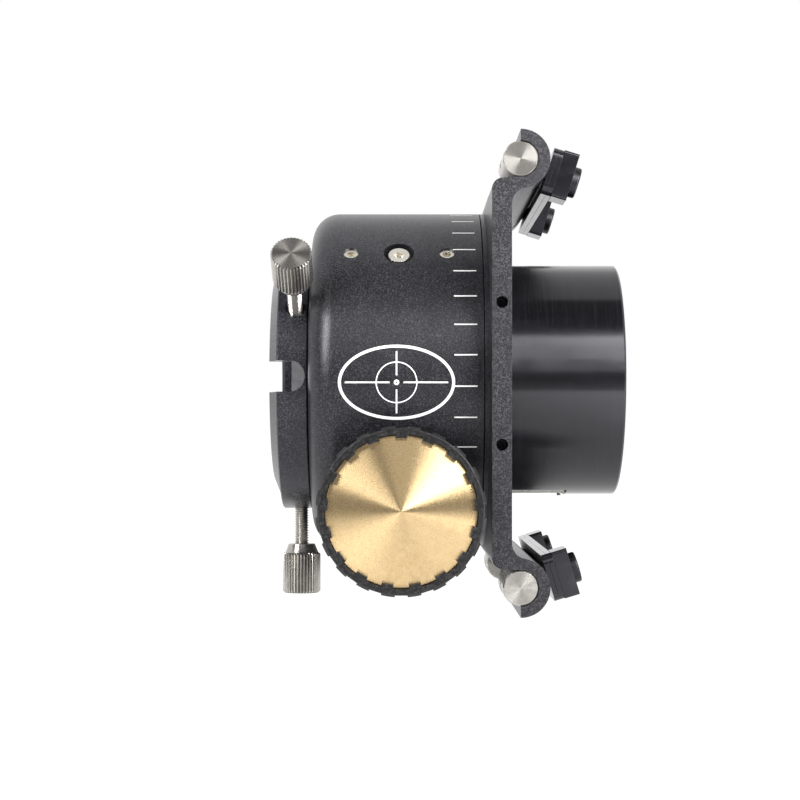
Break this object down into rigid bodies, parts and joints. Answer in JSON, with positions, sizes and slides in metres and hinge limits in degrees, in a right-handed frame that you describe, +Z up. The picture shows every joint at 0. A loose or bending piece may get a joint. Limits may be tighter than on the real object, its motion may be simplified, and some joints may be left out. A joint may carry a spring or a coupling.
{
  "type": "telescope focuser",
  "caption": "Friction-drive telescope focuser: eyepiece clamp, rotating drum body with degree scale, drawtube on a steel track, brass-faced knobs and a hooked base plate for curved tubes.",
  "frame": {"origin": "where the optical axis crosses the base plate's telescope-side face", "axes": "+X along the optical axis towards the telescope, -X towards the eyepiece; Y along the drive shaft, with the fine-focus knob at +Y; +Z up, away from the drive shaft"},
  "size_m": [0.0943, 0.137, 0.1226],
  "materials": {
    "plate_anodised": "grainy black anodised",
    "body_anodised": "satin black anodised, bead blasted",
    "clamp_anodised": "satin black anodised, bead blasted",
    "tube_anodised": "glossy black anodised, turned",
    "strip_anodised": "glossy black anodised",
    "stainless": "turned",
    "screw_steel": "machined",
    "black_steel": "black oxide",
    "track_steel": "ground",
    "bearing_steel": "polished",
    "ring_steel": "satin",
    "grip_anodised": "textured black anodised",
    "disc_brass": "turned",
    "bush_bronze": "machined",
    "pad_nylon": "natural nylon"
  },
  "bodies": {
    "base": {"base_plate": "plate_anodised", "rotation_ring": "body_anodised", "ring_screws": "black_steel", "body_lock_screws": "black_steel"},
    "focuser_body": {"main_body": "body_anodised", "shaft_block": "body_anodised", "shaft_block_screws": "black_steel", "shaft_bushes": "bush_bronze", "near_bearing_carrier": "track_steel", "far_bearing_carrier": "track_steel", "carrier_screws": "screw_steel", "carrier_set_screws": "screw_steel", "bearing_pins": "bearing_steel"},
    "drawtube": {"drawtube": "tube_anodised", "steel_track": "track_steel", "track_screw": "screw_steel", "stop_screw": "screw_steel", "eyepiece_clamp": "clamp_anodised", "compression_ring": "ring_steel"},
    "drive": {"drive_shaft": "bearing_steel", "near_knob_grip": "grip_anodised", "near_knob_disc": "disc_brass", "far_knob_grip": "grip_anodised", "far_knob_disc": "disc_brass", "knob_set_screws": "black_steel", "reduction_cage": "bush_bronze", "reduction_balls": "bearing_steel"},
    "fine_drive": {"fine_shaft": "bearing_steel", "fine_knob_grip": "grip_anodised", "fine_knob_disc": "disc_brass"},
    "roller_1": {"roller_bearing_1": "bearing_steel"},
    "roller_2": {"roller_bearing_2": "bearing_steel"},
    "roller_3": {"roller_bearing_3": "bearing_steel"},
    "roller_4": {"roller_bearing_4": "bearing_steel"},
    "thumb_1_pad": {"thumb_pad_1": "pad_nylon"},
    "thumb_1_screw": {"thumb_screw_1": "stainless"},
    "thumb_2_pad": {"thumb_pad_2": "pad_nylon"},
    "thumb_2_screw": {"thumb_screw_2": "stainless"},
    "thumb_3_pad": {"thumb_pad_3": "pad_nylon"},
    "thumb_3_screw": {"thumb_screw_3": "stainless"},
    "tension_pad": {"tension_pad": "pad_nylon"},
    "tension_screw": {"tension_screw": "stainless"},
    "lock_pad": {"lock_pad": "pad_nylon"},
    "lock_screw": {"lock_screw": "stainless"},
    "upper_clamp": {"upper_barrel_nuts": "stainless", "upper_clamp_screws": "black_steel", "upper_seat_strip": "strip_anodised", "upper_backing_strip": "strip_anodised", "upper_clamp_blocks": "strip_anodised"},
    "lower_clamp": {"lower_barrel_nuts": "stainless", "lower_clamp_screws": "black_steel", "lower_seat_strip": "strip_anodised", "lower_backing_strip": "strip_anodised", "lower_clamp_blocks": "strip_anodised"}
  },
  "joints": [
    {"name": "body_rotation", "type": "hinge", "parent": "base", "child": "focuser_body", "pos_m": [0, 0, 0], "axis": [1, 0, 0], "continuous": true},
    {"name": "focus_turn", "type": "hinge", "parent": "focuser_body", "child": "drive", "pos_m": [-0.0278, 0, -0.03445], "axis": [0, -1, 0], "range_deg": [0, 773.49]},
    {"name": "focus_travel", "type": "slide", "parent": "focuser_body", "child": "drawtube", "axis": [-1, 0, 0], "range_m": [0, 0.0405]},
    {"name": "fine_turn", "type": "hinge", "parent": "focuser_body", "child": "fine_drive", "pos_m": [-0.0278, 0, -0.03445], "axis": [0, -1, 0], "range_deg": [0, 7735.93]},
    {"name": "roller_1_turn", "type": "hinge", "parent": "focuser_body", "child": "roller_1", "pos_m": [-0.0394, -0.0256, 0.02524], "axis": [0, 0.7022, 0.712], "range_deg": [0, 580.62]},
    {"name": "roller_2_turn", "type": "hinge", "parent": "focuser_body", "child": "roller_2", "pos_m": [-0.0174, -0.0256, 0.02524], "axis": [0, 0.7022, 0.712], "range_deg": [0, 580.62]},
    {"name": "roller_3_turn", "type": "hinge", "parent": "focuser_body", "child": "roller_3", "pos_m": [-0.0394, 0.0256, 0.02524], "axis": [0, 0.7022, -0.712], "range_deg": [0, 580.62]},
    {"name": "roller_4_turn", "type": "hinge", "parent": "focuser_body", "child": "roller_4", "pos_m": [-0.0174, 0.0256, 0.02524], "axis": [0, 0.7022, -0.712], "range_deg": [0, 580.62]},
    {"name": "thumb_1_travel", "type": "slide", "parent": "drawtube", "child": "thumb_1_pad", "axis": [0, -0.866, 0.5], "range_m": [0, 0.0021]},
    {"name": "thumb_1_turn", "type": "hinge", "parent": "thumb_1_pad", "child": "thumb_1_screw", "pos_m": [-0.0557, -0.0433, 0.025], "axis": [0, -0.866, 0.5], "range_deg": [0, 1080]},
    {"name": "thumb_2_travel", "type": "slide", "parent": "drawtube", "child": "thumb_2_pad", "axis": [0, 0.866, 0.5], "range_m": [0, 0.0021]},
    {"name": "thumb_2_turn", "type": "hinge", "parent": "thumb_2_pad", "child": "thumb_2_screw", "pos_m": [-0.0557, 0.0433, 0.025], "axis": [0, 0.866, 0.5], "range_deg": [0, 1080]},
    {"name": "thumb_3_travel", "type": "slide", "parent": "drawtube", "child": "thumb_3_pad", "axis": [0, 0, -1], "range_m": [0, 0.0021]},
    {"name": "thumb_3_turn", "type": "hinge", "parent": "thumb_3_pad", "child": "thumb_3_screw", "pos_m": [-0.0557, 0, -0.05], "axis": [0, 0, -1], "range_deg": [0, 1080]},
    {"name": "tension_travel", "type": "slide", "parent": "focuser_body", "child": "tension_pad", "axis": [0, 0, -1], "range_m": [0, 0.0014]},
    {"name": "tension_turn", "type": "hinge", "parent": "tension_pad", "child": "tension_screw", "pos_m": [-0.0278, 0.01, -0.05], "axis": [0, 0, -1], "range_deg": [0, 720]},
    {"name": "lock_travel", "type": "slide", "parent": "focuser_body", "child": "lock_pad", "axis": [0, 0, -1], "range_m": [0, 0.0014]},
    {"name": "lock_turn", "type": "hinge", "parent": "lock_pad", "child": "lock_screw", "pos_m": [-0.0278, -0.01, -0.05], "axis": [0, 0, -1], "range_deg": [0, 720]},
    {"name": "upper_clamp_swing", "type": "hinge", "parent": "base", "child": "upper_clamp", "pos_m": [0.0022, 0, 0.0539], "axis": [0, 1, 0], "range_deg": [-17, 13]},
    {"name": "lower_clamp_swing", "type": "hinge", "parent": "base", "child": "lower_clamp", "pos_m": [0.0022, 0, -0.0539], "axis": [0, -1, 0], "range_deg": [-17, 13]}
  ],
  "couplings": [
    {"joint": "focus_travel", "follows": "focus_turn", "m_per_rad": 0.003},
    {"joint": "fine_turn", "follows": "focus_turn", "ratio": 10},
    {"joint": "roller_1_turn", "follows": "focus_turn", "ratio": 0.75},
    {"joint": "roller_2_turn", "follows": "focus_turn", "ratio": 0.75},
    {"joint": "roller_3_turn", "follows": "focus_turn", "ratio": 0.75},
    {"joint": "roller_4_turn", "follows": "focus_turn", "ratio": 0.75},
    {"joint": "thumb_1_travel", "follows": "thumb_1_turn", "m_per_rad": 0.00011141},
    {"joint": "thumb_2_travel", "follows": "thumb_2_turn", "m_per_rad": 0.00011141},
    {"joint": "thumb_3_travel", "follows": "thumb_3_turn", "m_per_rad": 0.00011141},
    {"joint": "tension_travel", "follows": "tension_turn", "m_per_rad": 0.00011141},
    {"joint": "lock_travel", "follows": "lock_turn", "m_per_rad": 0.00011141}
  ]
}
